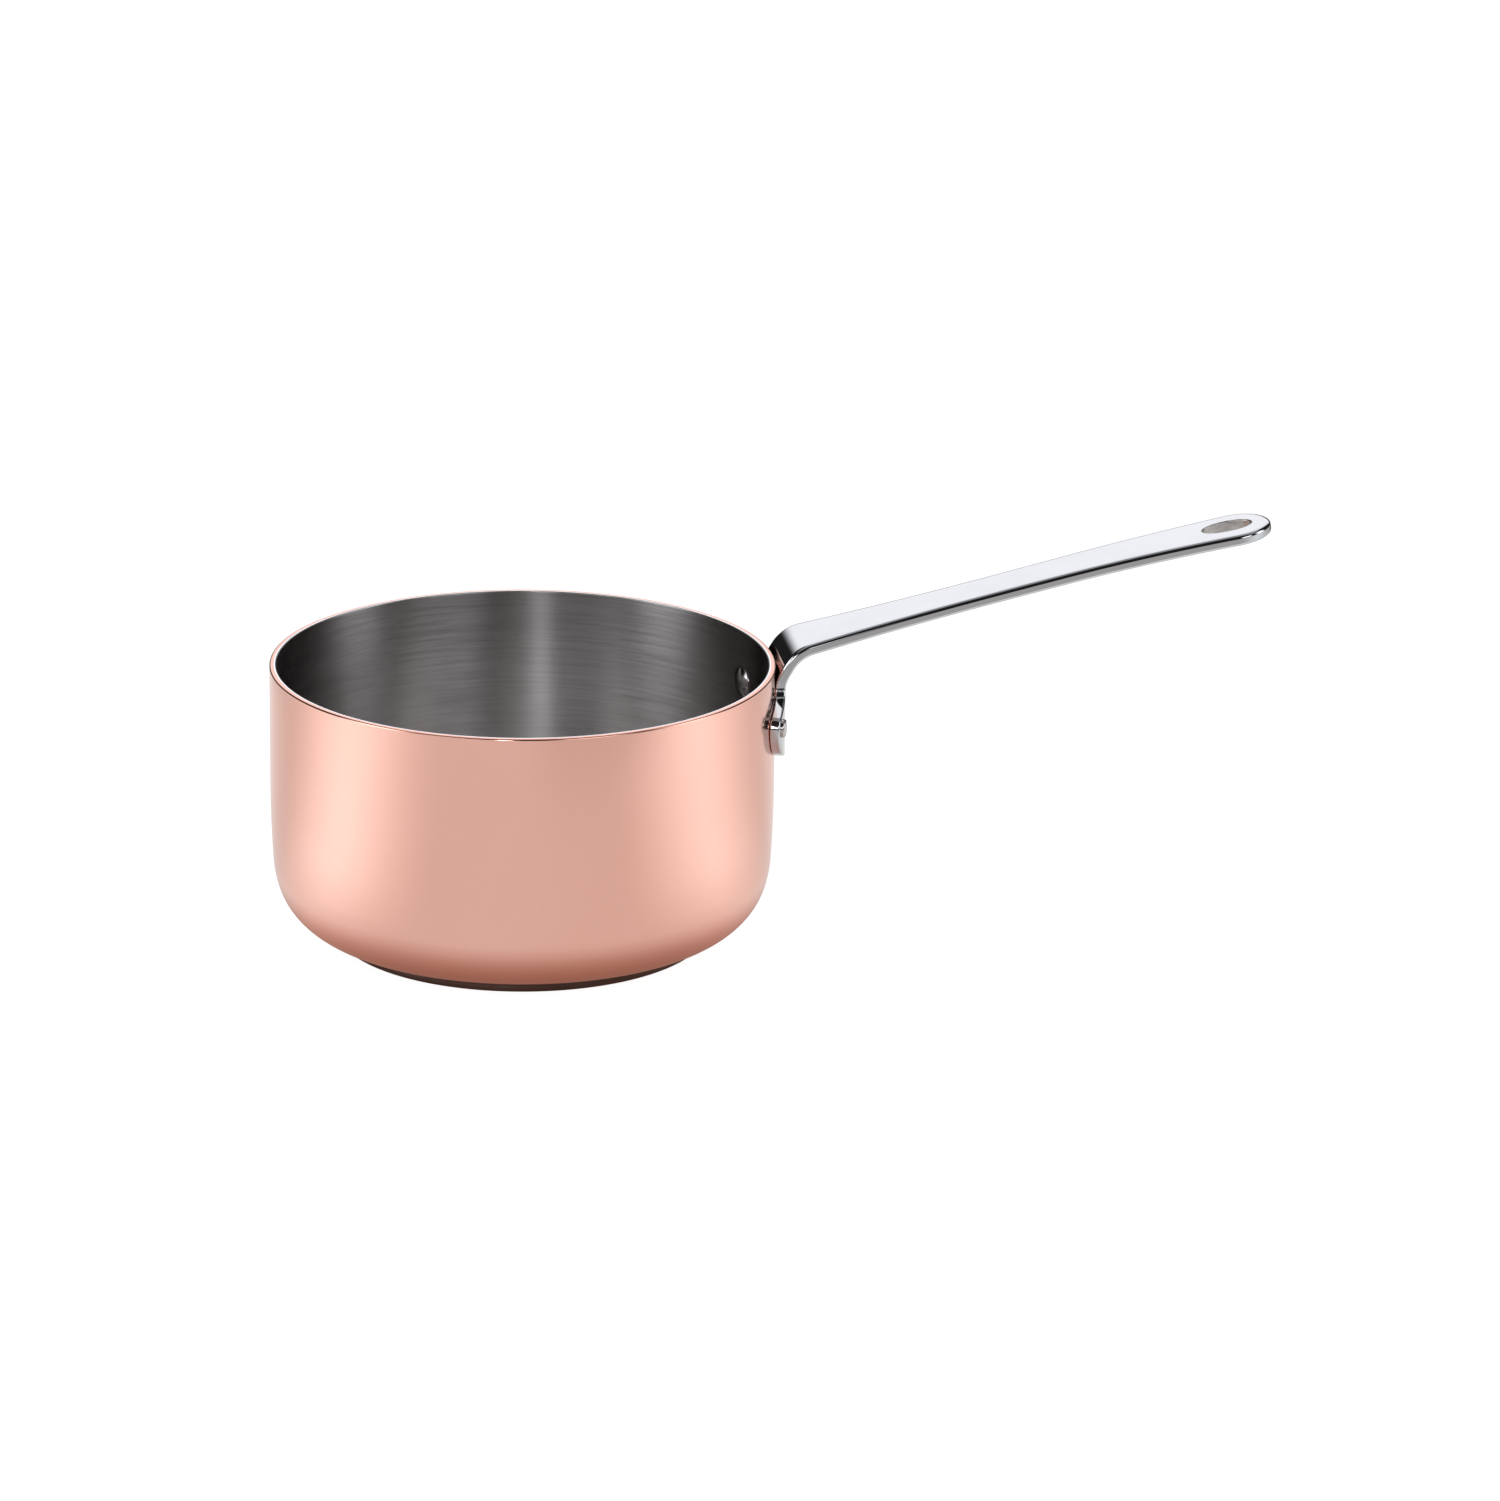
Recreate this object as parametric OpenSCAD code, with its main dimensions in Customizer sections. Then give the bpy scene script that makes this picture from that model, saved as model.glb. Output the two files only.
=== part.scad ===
// Copper saucepan: a three-ply pan with an induction base and a riveted strap handle.
// Millimetres. +Z is up, the handle points along +X, and the origin is the centre of the underside.

/* [Pot] */
// Outside diameter at the rim
rim_d = 180; // [160:1:200]
// Height of the rim above the worktop
rim_h = 101; // [96:1:120]
// Radius of the soft curve low on the wall
belly_r = 450; // [300:10:600]
// Angle through which the belly curve turns in
belly_turn = 3.6; // [2:0.1:5]
// Radius of the upper stretch of the corner
shoulder_r = 36; // [30:1:42]
// Angle from upright at which the shoulder passes into the corner
shoulder_turn = 19.3; // [12:0.1:28]
// Radius of the lower stretch of the corner
corner_r = 23.3; // [18:0.1:28]

/* [Plies] */
// Thickness of the copper outside
copper_t = 1.5; // [0.8:0.1:1.6]
// Thickness of the aluminium between copper and steel
core_t = 0.5; // [0.4:0.1:2]
// Thickness of the steel inside
liner_t = 0.5; // [0.4:0.1:0.8]
// Rounding on the copper's top edge
copper_edge_r = 0.6; // [0.3:0.1:0.8]
// Rounding on the liner's top edge, above which the liner stands at full height
liner_edge_r = 0.4; // [0.1:0.1:0.4]

/* [Base] */
// Diameter of the steel base cap
base_d = 134; // [100:1:134]
// Height of the base, from the worktop to the copper
base_h = 3.8; // [3:0.1:6]
// Thickness of the cap's steel
cap_t = 0.8; // [0.5:0.1:1.2]
// Rounding on the cap's lower edge
cap_edge_r = 1.4; // [1:0.1:2]
// Shadow gap between the cap's lip and the copper
cap_gap = 0.3; // [0.1:0.1:0.5]

/* [Handle] */
// Thickness of the strap
strap_t = 4.1; // [3:0.1:5]
// Radius of the bend, on its upper side
bend_r = 15.2; // [12:0.1:20]
// Height at which the bend leaves the wall
bend_z = 93.4; // [93:0.1:95]
// Rise of the strap beyond the bend, in degrees
rise = 13.5; // [8:0.1:20]
// Length of the straight stretch after the bend
straight_l = 94; // [60:1:110]
// Radius of the long curve that levels the strap towards its end
sweep_r = 1200; // [900:10:1500]
// Distance from the pot's axis to the tip
reach = 270.4; // [245:0.1:290]
// Width where the strap leaves the wall
root_w = 31.5; // [28:0.1:33]
// Width at the waist
waist_w = 21.5; // [18:0.1:24]
// Distance from the pot's axis to the waist
waist_x = 165; // [150:1:180]
// Width across the rounded tip
tip_w = 27; // [25:0.1:30]

/* [Hanging hole] */
// Length of the hole
hole_l = 18; // [14:0.1:20]
// Width of the hole
hole_w = 11.5; // [9:0.1:13]
// Metal left between the hole and the tip
hole_margin = 7.1; // [6:0.1:12]

/* [Bracket] */
// Thickness of the plate that is riveted to the wall
plate_t = 3.7; // [3:0.1:5]
// Height of the plate's lowest point
plate_low = 65.5; // [63:0.1:66.5]
// Radius of the plate's lower edge
keel_r = 58; // [54:1:70]
// Distance of the rounded ears' ends from the handle's middle plane
ear_reach = 32.2; // [31.8:0.1:34]
// Radius of each ear's lower corner
ear_low_r = 11.8; // [8:0.1:14]
// Radius of each ear's upper corner
ear_top_r = 4.5; // [3:0.1:5]
// Slope of the plate's upper edges, in degrees
plate_slope = 17; // [12:0.5:19]
// Fillet between the plate's upper edges and the strap
neck_r = 4; // [2:0.5:4]

/* [Rivets] */
// Angle of each rivet from the handle's direction, seen from above
rivet_turn = 17.9; // [15:0.1:18]
// Height of the rivets above the worktop
rivet_z = 82.2; // [80:0.1:83]
// Diameter of the shank
shank_d = 6; // [5:0.1:6.2]
// Diameter of the domed head inside the pot
head_d = 11.5; // [10:0.1:13]
// Height of the domed head
head_h = 2; // [1.4:0.1:2.5]
// Height of the upright edge under the dome
head_edge_h = 0.5; // [0.4:0.1:0.7]
// Diameter of the button outside
button_d = 6.6; // [6.4:0.1:7]
// Height of the button above the plate
button_h = 1.5; // [1.2:0.1:3]
// Rounding on the button's edge
button_edge_r = 0.8; // [0.3:0.1:1.1]

/* [Hidden] */

// Facets for large rounds and for small rounds
round_fn = 180;
small_fn = 48;
// Steps along the arcs that outlines are made of
long_steps = 8;
round_steps = 12;
short_steps = 4;
// Overlap that keeps cutting tools clear of the faces they pass through
eps = 1;

// Points on an arc about a centre, from one angle to another; the first point can be left out
function arc(centre, r, from, to, steps, first = 0) = [
    for (i = [first : steps])
        let (angle = from + (to - from) * i / steps)
            centre + r * [cos(angle), sin(angle)]
];
function backwards(points) = [for (i = [len(points) - 1 : -1 : 0]) points[i]];
function mirrored(points) = [for (p = points) [-p[0], p[1]]];

rim_r = rim_d / 2;
wall_t = copper_t + core_t + liner_t;

// Centres of the three arcs of the outside profile, from the bottom up
corner_z = base_h + corner_r;
shoulder_z = corner_z + (shoulder_r - corner_r) * sin(shoulder_turn);
belly_z = shoulder_z + (belly_r - shoulder_r) * sin(belly_turn);
belly_x = rim_r - belly_r;
shoulder_x = belly_x + (belly_r - shoulder_r) * cos(belly_turn);
corner_x = shoulder_x + (shoulder_r - corner_r) * cos(shoulder_turn);

// Centre of the bend, and the point on the strap's upper side where the straight stretch begins
bend_centre = [rim_r + bend_r, bend_z];
root = bend_centre + bend_r * [-sin(rise), cos(rise)];

// Where the long curve begins, its centre, and how far it turns before the tip
sweep_start = root + straight_l * [cos(rise), sin(rise)];
sweep_centre = sweep_start - sweep_r * [-sin(rise), cos(rise)];
sweep_end = acos((reach + eps - sweep_centre[0]) / sweep_r);

// The tip's round end, and the arcs of the strap's two sides on either side of the waist
tip_x = reach - tip_w / 2;
root_side_r = (pow(waist_x - rim_r, 2) + pow((root_w - waist_w) / 2, 2)) / (root_w - waist_w);
tip_side_r = (pow(tip_x - waist_x, 2) + pow((tip_w - waist_w) / 2, 2)) / (tip_w - waist_w);

// Middle of the hanging hole, and the strap's slope and upper side there
hole_x = reach - hole_margin - hole_l / 2;
hole_turn = acos((hole_x - sweep_centre[0]) / sweep_r);
hole_z = sweep_centre[1] + sweep_r * sin(hole_turn);

// Bracket: the lower edge's centre, and the two corners of the left ear, which share their height
keel_centre = [0, plate_low + keel_r];
corner_gap = [ear_reach - ear_low_r, keel_r - ear_low_r];
ear_z = keel_centre[1] - sqrt(pow(corner_gap[1], 2) - pow(corner_gap[0], 2));
keel_turn = asin(corner_gap[0] / corner_gap[1]);
ear_low = [ear_reach - ear_low_r, ear_z];
ear_top = [ear_reach - ear_top_r, ear_z];

// Bracket: where an upper edge leaves its ear, where it would meet the strap, and the fillet there
brow = ear_top + ear_top_r * [sin(plate_slope), cos(plate_slope)];
neck_z = brow[1] + (brow[0] - root_w / 2) * tan(plate_slope);
neck_centre = [root_w / 2 + neck_r, neck_z - neck_r * tan(plate_slope) + neck_r / cos(plate_slope)];

// The outside profile drawn in by an inset, from the rim down to the middle of the floor
function pot_profile(inset) = concat(
    [[rim_r - inset, rim_h]],
    arc([belly_x, belly_z], belly_r - inset, 0, -belly_turn, short_steps),
    arc([shoulder_x, shoulder_z], shoulder_r - inset, -belly_turn, -shoulder_turn, short_steps, 1),
    arc([corner_x, corner_z], corner_r - inset, -shoulder_turn, -90, round_steps, 1),
    [[0, base_h + inset]]
);

// One layer of the pot, between two insets, before it is turned
module ply_section(outer_inset, inner_inset) {
    polygon(concat(pot_profile(outer_inset), backwards(pot_profile(inner_inset))));
}

// What is cut away to round a convex corner of radius r at the origin, towards +X and +Y
module corner_cut(r) {
    translate([-r, -r])
        difference() {
            square(r + eps);
            circle(r, $fn = small_fn);
        }
}

// Places a rivet's own axis, +Z outwards from the pot, in an ear; side is 1 for +Y and -1 for -Y
module at_rivet(side) {
    rotate([0, 0, side * rivet_turn])
        translate([0, 0, rivet_z])
            rotate([0, 90, 0])
                children();
}

// Both rivet holes, through wall and plate
module rivet_holes() {
    for (side = [-1, 1])
        at_rivet(side)
            translate([0, 0, rim_r - wall_t - eps])
                cylinder(h = wall_t + plate_t + 2 * eps, d = shank_d, $fn = small_fn);
}

module copper_shell() {
    color("#dd9f88")
        difference() {
            rotate_extrude($fn = round_fn)
                difference() {
                    ply_section(0, copper_t);
                    translate([rim_r, rim_h])
                        corner_cut(copper_edge_r);
                }
            rivet_holes();
        }
}

module aluminium_core() {
    color("#d9dadd")
        difference() {
            rotate_extrude($fn = round_fn)
                ply_section(copper_t, copper_t + core_t);
            rivet_holes();
        }
}

module steel_liner() {
    color("#8d8886")
        difference() {
            rotate_extrude($fn = round_fn)
                difference() {
                    ply_section(copper_t + core_t, wall_t);
                    translate([rim_r - wall_t, rim_h])
                        mirror([1, 0])
                            corner_cut(liner_edge_r);
                }
            rivet_holes();
        }
}

// Aluminium disc that spreads the heat, closed in between the cap and the copper
module base_core() {
    color("#c9cbce")
        translate([0, 0, cap_t])
            cylinder(h = base_h - cap_t, d = base_d - 2 * cap_t, $fn = round_fn);
}

// Magnetic steel dish that closes the base and stands on the worktop
module base_cap() {
    lip_h = base_h - cap_gap;
    color("#6f6763")
        rotate_extrude($fn = round_fn)
            difference() {
                square([base_d / 2, lip_h]);
                translate([0, cap_t])
                    square([base_d / 2 - cap_t, base_h]);
                translate([base_d / 2, 0])
                    mirror([0, 1])
                        corner_cut(cap_edge_r);
            }
}

// The strap from the side, +X along the handle and +Y up
module strap_side() {
    over = concat(
        arc(bend_centre, bend_r, 180, 90 + rise, round_steps),
        arc(sweep_centre, sweep_r, 90 + rise, sweep_end, long_steps)
    );
    under = concat(
        arc(bend_centre, bend_r - strap_t, 180, 90 + rise, round_steps),
        arc(sweep_centre, sweep_r - strap_t, 90 + rise, sweep_end, long_steps)
    );
    polygon(concat(over, backwards(under)));
}

// The strap from above, with its widths measured across +Y
module strap_plan() {
    root_turn = asin((waist_x - rim_r + eps) / root_side_r);
    tip_turn = asin((tip_x - waist_x) / tip_side_r);
    side = concat(
        arc([waist_x, -waist_w / 2 - root_side_r], root_side_r, 90 + root_turn, 90, long_steps),
        arc([waist_x, -waist_w / 2 - tip_side_r], tip_side_r, 90, 90 - tip_turn, long_steps, 1)
    );
    polygon(concat(side, [for (p = backwards(side)) [p[0], -p[1]]]));
    translate([tip_x, 0])
        circle(d = tip_w, $fn = round_fn);
}

// The hanging hole, square to the strap
module hanging_hole() {
    translate([hole_x, 0, hole_z])
        rotate([0, hole_turn - 90, 0])
            linear_extrude(4 * strap_t, center = true)
                polygon([
                    for (angle = [0 : 360 / small_fn : 359])
                        [hole_l / 2 * cos(angle), hole_w / 2 * sin(angle)]
                ]);
}

// The bracket from the front, +X to the left of the handle and +Y up
module plate_outline() {
    left = concat(
        arc(ear_low, ear_low_r, -90 + keel_turn, 0, round_steps, 1),
        arc(ear_top, ear_top_r, 0, 90 - plate_slope, round_steps, 1),
        arc(neck_centre, neck_r, 270 - plate_slope, 180, short_steps),
        [[root_w / 2, bend_z + eps]]
    );
    keel = arc(keel_centre, keel_r, -90 - keel_turn, -90 + keel_turn, round_steps);
    polygon(concat(keel, left, backwards(mirrored(left))));
}

// One-piece handle: curved plate on the wall, bend, strap and hanging hole
module handle() {
    color("#c4c6ce")
        difference() {
            union() {
                intersection() {
                    cylinder(h = rim_h + strap_t, r = rim_r + plate_t, $fn = round_fn);
                    rotate([90, 0, 90])
                        linear_extrude(rim_d)
                            plate_outline();
                }
                intersection() {
                    rotate([90, 0, 0])
                        linear_extrude(2 * root_w, center = true)
                            strap_side();
                    linear_extrude(2 * rim_d)
                        strap_plan();
                }
            }
            cylinder(h = 2 * rim_h, r = rim_r, $fn = round_fn);
            rivet_holes();
            hanging_hole();
        }
}

// A rivet on its own axis: domed head inside the pot, shank, and button outside the plate
module rivet() {
    dome_h = head_h - head_edge_h;
    dome_r = (pow(head_d / 2, 2) + pow(dome_h, 2)) / (2 * dome_h);
    inner_r = rim_r - wall_t;
    plate_r = rim_r + plate_t;
    // The head's foot follows the liner
    intersection() {
        translate([0, 0, inner_r - head_h + dome_r])
            sphere(dome_r, $fn = round_fn);
        translate([0, 0, inner_r - head_h])
            cylinder(h = head_h + eps, d = head_d, $fn = small_fn);
        rotate([0, 90, 0])
            cylinder(h = 2 * head_d, r = inner_r, center = true, $fn = round_fn);
    }
    translate([0, 0, inner_r - eps])
        cylinder(h = wall_t + plate_t + 2 * eps, d = shank_d, $fn = small_fn);
    // The button's foot follows the plate
    difference() {
        translate([0, 0, plate_r - eps])
            rotate_extrude($fn = small_fn)
                difference() {
                    square([button_d / 2, button_h + eps]);
                    translate([button_d / 2, button_h + eps])
                        corner_cut(button_edge_r);
                }
        rotate([0, 90, 0])
            cylinder(h = 2 * head_d, r = plate_r, center = true, $fn = round_fn);
    }
}

module rivet_left() {
    color("#a6a3a2")
        at_rivet(1)
            rivet();
}

module rivet_right() {
    color("#a6a3a2")
        at_rivet(-1)
            rivet();
}

copper_shell();
aluminium_core();
steel_liner();
base_core();
base_cap();
handle();
rivet_left();
rivet_right();
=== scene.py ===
"""Copper saucepan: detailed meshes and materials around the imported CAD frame.

Shapes are worked out in millimetres in the CAD frame and become metres when a mesh is made.
"""
import math

import bpy
import numpy as np
from mathutils import Matrix, Vector
from mathutils.geometry import delaunay_2d_cdt


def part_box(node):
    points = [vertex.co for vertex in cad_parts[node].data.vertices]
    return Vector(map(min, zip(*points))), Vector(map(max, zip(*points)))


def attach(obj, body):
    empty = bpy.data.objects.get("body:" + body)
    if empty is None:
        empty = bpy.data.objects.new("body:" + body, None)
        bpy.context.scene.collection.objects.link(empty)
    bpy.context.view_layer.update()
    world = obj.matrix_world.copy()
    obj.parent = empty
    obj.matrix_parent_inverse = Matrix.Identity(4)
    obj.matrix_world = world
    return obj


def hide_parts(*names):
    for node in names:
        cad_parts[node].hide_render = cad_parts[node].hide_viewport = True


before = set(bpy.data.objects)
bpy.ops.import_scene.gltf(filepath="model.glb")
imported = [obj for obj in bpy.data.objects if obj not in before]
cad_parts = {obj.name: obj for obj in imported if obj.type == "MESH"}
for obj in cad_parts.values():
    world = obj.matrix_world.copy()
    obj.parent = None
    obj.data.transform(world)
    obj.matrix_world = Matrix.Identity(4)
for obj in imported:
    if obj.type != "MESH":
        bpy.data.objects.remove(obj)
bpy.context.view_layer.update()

MM = 0.001

# Mesh fineness: steps once round, points across a rounded edge, and the handle's triangle size
POT_STEPS = 288
RIVET_STEPS = 64
HANGING_HOLE_STEPS = 60
SHANK_HOLE_STEPS = 32
EDGE_POINTS = 9
HANDLE_SPACING = 1.2

# Steps along each stretch of the pot's profile
FLOOR_STEPS = 6
CORNER_STEPS = 16
SHOULDER_STEPS = 6
BELLY_STEPS = 6
WALL_STEPS = 8


def box_mm(node):
    """Lowest and highest corner of a CAD node, in millimetres, to a tenth."""
    return [np.round(np.array(corner) / MM, 1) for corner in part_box(node)]


# Sizes that the frame gives
RIM_R, RIM_H = box_mm("copper_shell")[1][1:]
BASE_H = box_mm("copper_shell")[0][2]
CORE_R = box_mm("aluminium_core")[1][1]
LINER_R = box_mm("steel_liner")[1][1]
CAP_R, CAP_LIP = box_mm("base_cap")[1][1:]
REACH = box_mm("handle")[1][0]
PLATE_LOW = box_mm("handle")[0][2]

# Pot profile: three arcs from the wall down to the floor, as in the CAD
BELLY_R, BELLY_TURN = 450.0, math.radians(3.6)
SHOULDER_R, SHOULDER_TURN = 36.0, math.radians(19.3)
CORNER_R = 23.3
LINER_T = 0.5
COPPER_EDGE_R = 0.6
LINER_EDGE_R = 0.4
WALL_T = RIM_R - LINER_R + LINER_T

CORNER_C = np.array([0.0, BASE_H + CORNER_R])
SHOULDER_C = CORNER_C + (SHOULDER_R - CORNER_R) * np.array([0.0, math.sin(SHOULDER_TURN)])
BELLY_C = SHOULDER_C + (BELLY_R - SHOULDER_R) * np.array([0.0, math.sin(BELLY_TURN)])
BELLY_C[0] = RIM_R - BELLY_R
SHOULDER_C[0] = BELLY_C[0] + (BELLY_R - SHOULDER_R) * math.cos(BELLY_TURN)
CORNER_C[0] = SHOULDER_C[0] + (SHOULDER_R - CORNER_R) * math.cos(SHOULDER_TURN)

# Base cap
CAP_T = 0.8
CAP_EDGE_R = 1.4

# Handle, seen from the side: wall plate, bend, straight stretch, long sweep to the tip
PLATE_T, STRAP_T = 3.7, 4.1
BEND_R, BEND_Z = 15.2, 93.4
RISE = math.radians(13.5)
STRAIGHT_L = 94.0
SWEEP_R = 1200.0

# Handle, seen from above; square to the strap, the tip's lower edge stands out past its upper edge
ROOT_W, WAIST_W, TIP_W = 31.5, 21.5, 27.0
WAIST_X = 165.0
TIP_LEAN = 0.56
HOLE_L, HOLE_W, HOLE_MARGIN = 18.0, 11.5, 7.1

# Handle plate, seen from the front: lower edge, the ears' two corners, upper edges, and the fillet
# at the strap
KEEL_R = 58.0
EAR_REACH, EAR_LOW_R, EAR_TOP_R = 32.2, 11.8, 4.5
BROW_SLOPE = math.radians(17)
NECK_R = 4.0

# Distances along the handle from the start of the bend: the stretch in which the plate's curve
# round the pot fades out, and where thickness and edge rounding start to change to the strap's
CURVE_END_FROM, CURVE_END_TO = -2.0, 8.0
THICKEN_FROM = -4.0
EDGE_CHANGE_FROM = -2.0

# Added to the curvature across the handle, because it is divided by
LEAST_CURVE = 1e-7

# Edge rounding as (inwards, down), first on the side that faces the pot, which goes on as the
# strap's upper side. The shank holes end 1.5 mm from the plate's outline, so there is little room.
PLATE_EDGES = np.array([(0.85, 0.6), (0.7, 0.7)])
STRAP_EDGES = np.array([(2.2, 1.5), (1.1, 1.1)])
HOLE_EDGES = np.array([(0.5, 0.5), (0.5, 0.5)])
SHANK_HOLE_EDGES = np.array([(0.1, 0.1), (0.1, 0.1)])

# Rivets
RIVET_TURN, RIVET_Z = math.radians(17.9), 82.2
SHANK_R = 3.0
HEAD_R, HEAD_H, HEAD_EDGE_H, HEAD_EDGE_R = 5.75, 2.0, 0.5, 0.3
BUTTON_R, BUTTON_H, BUTTON_EDGE_R = 3.3, 1.5, 0.8

# A point nearer than this to a radius or a height counts as being on it
TOUCHING = 0.01


# ---------------------------------------------------------------- meshes

def make_piece(name, points, faces, corner_normals, materials, face_slots=None):
    """A mesh object from millimetre points, with its own normal at every face corner."""
    mesh = bpy.data.meshes.new(name)
    mesh.from_pydata((np.asarray(points) * MM).tolist(), [], faces)
    for material in materials:
        mesh.materials.append(material)
    if face_slots is not None:
        mesh.polygons.foreach_set("material_index", face_slots)
    mesh.polygons.foreach_set("use_smooth", [True] * len(mesh.polygons))
    mesh.normals_split_custom_set(corner_normals)
    mesh.update()
    piece = bpy.data.objects.new(name, mesh)
    bpy.context.scene.collection.objects.link(piece)
    return piece


def stand_for(piece, node):
    """Rides on the one body and takes the CAD node's place."""
    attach(piece, "root")
    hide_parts(node)
    return piece


class Outline:
    """Half a turned piece: stretches of points (r, z) with normals, metal left of the travel."""

    def __init__(self):
        self.stretches = []

    def line(self, start, end, steps=1):
        """Adds a straight stretch."""
        start, end = np.array(start, float), np.array(end, float)
        along = (end - start) / np.linalg.norm(end - start)
        normal = np.array([along[1], -along[0]])
        points = [start + (end - start) * i / steps for i in range(steps + 1)]
        self.stretches.append([(p, normal) for p in points])

    def arc(self, centre, radius, start, end, steps):
        """Adds an arc between two angles; if the angle falls, the metal is outside the circle."""
        side = 1 if end > start else -1
        stretch = []
        for i in range(steps + 1):
            angle = start + (end - start) * i / steps
            ray = np.array([math.cos(angle), math.sin(angle)])
            stretch.append((np.array(centre) + radius * ray, side * ray))
        self.stretches.append(stretch)


def turn(outline, steps):
    """Points, faces and corner normals of a closed outline turned about the Z axis."""
    points, faces, normals = [], [], []
    angles = [2 * math.pi * i / steps for i in range(steps)]
    turns = [(math.cos(a), math.sin(a)) for a in angles]
    rings = {}

    def swing(flat, at):
        """An (r, z) point or normal at one step of the turn."""
        return flat[0] * at[0], flat[0] * at[1], flat[1]

    def ring(p):
        """Indices of the ring at p, one index if p is on the axis."""
        key = (round(p[0], 4), round(p[1], 4))
        if key not in rings:
            first = len(points)
            on_axis = key[0] == 0
            points.extend(swing(p, at) for at in (turns[:1] if on_axis else turns))
            rings[key] = [first] * steps if on_axis else list(range(first, first + steps))
        return rings[key]

    for stretch in outline.stretches:
        for (p, normal_p), (q, normal_q) in zip(stretch, stretch[1:]):
            lower, upper = ring(p), ring(q)
            for i in range(steps):
                j = (i + 1) % steps
                corners = [
                    (lower[i], swing(normal_p, turns[i])),
                    (lower[j], swing(normal_p, turns[j])),
                    (upper[j], swing(normal_q, turns[j])),
                    (upper[i], swing(normal_q, turns[i])),
                ]
                # On the axis two corners fall together, and the face is a triangle
                if lower[i] == lower[j]:
                    corners.pop(0)
                if upper[i] == upper[j]:
                    corners.pop()
                faces.append([index for index, _ in corners])
                normals.extend(normal for _, normal in corners)
    return np.array(points), faces, normals


# ---------------------------------------------------------------- pot

def wall_up(outline, inset):
    """The pot's profile at an inset, from the middle of the floor up to the belly's top."""
    outline.line((0, BASE_H + inset), (CORNER_C[0], BASE_H + inset), FLOOR_STEPS)
    outline.arc(CORNER_C, CORNER_R - inset, -math.pi / 2, -SHOULDER_TURN, CORNER_STEPS)
    outline.arc(SHOULDER_C, SHOULDER_R - inset, -SHOULDER_TURN, -BELLY_TURN, SHOULDER_STEPS)
    outline.arc(BELLY_C, BELLY_R - inset, -BELLY_TURN, 0, BELLY_STEPS)


def wall_down(outline, inset):
    """The same profile from the belly's top down to the middle of the floor."""
    outline.arc(BELLY_C, BELLY_R - inset, 0, -BELLY_TURN, BELLY_STEPS)
    outline.arc(SHOULDER_C, SHOULDER_R - inset, -BELLY_TURN, -SHOULDER_TURN, SHOULDER_STEPS)
    outline.arc(CORNER_C, CORNER_R - inset, -SHOULDER_TURN, -math.pi / 2, CORNER_STEPS)
    outline.line((CORNER_C[0], BASE_H + inset), (0, BASE_H + inset), FLOOR_STEPS)


def ply(name, outer, inner, outer_edge, inner_edge, material):
    """One layer of the pot between two radii at the rim, with its two top edges rounded."""
    outline = Outline()
    wall_up(outline, RIM_R - outer)
    outline.line((outer, BELLY_C[1]), (outer, RIM_H - outer_edge), WALL_STEPS)
    if outer_edge:
        corner = (outer - outer_edge, RIM_H - outer_edge)
        outline.arc(corner, outer_edge, 0, math.pi / 2, steps=8)
    outline.line((outer - outer_edge, RIM_H), (inner + inner_edge, RIM_H))
    if inner_edge:
        corner = (inner + inner_edge, RIM_H - inner_edge)
        outline.arc(corner, inner_edge, math.pi / 2, math.pi, steps=6)
    outline.line((inner, RIM_H - inner_edge), (inner, BELLY_C[1]), WALL_STEPS)
    wall_down(outline, RIM_R - inner)
    return make_piece(name, *turn(outline, POT_STEPS), [material])


def base_cap(material):
    """Dish that closes the base: rounded lower edge, thin lip under the copper."""
    inside = CAP_R - CAP_T
    outline = Outline()
    outline.line((0, 0), (CAP_R - CAP_EDGE_R, 0), steps=8)
    outline.arc((CAP_R - CAP_EDGE_R, CAP_EDGE_R), CAP_EDGE_R, -math.pi / 2, 0, steps=8)
    outline.line((CAP_R, CAP_EDGE_R), (CAP_R, CAP_LIP))
    outline.line((CAP_R, CAP_LIP), (inside, CAP_LIP))
    outline.line((inside, CAP_LIP), (inside, CAP_T))
    outline.line((inside, CAP_T), (0, CAP_T), steps=4)
    return make_piece("base_cap_turned", *turn(outline, POT_STEPS), [material])


# ---------------------------------------------------------------- rivets

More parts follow.
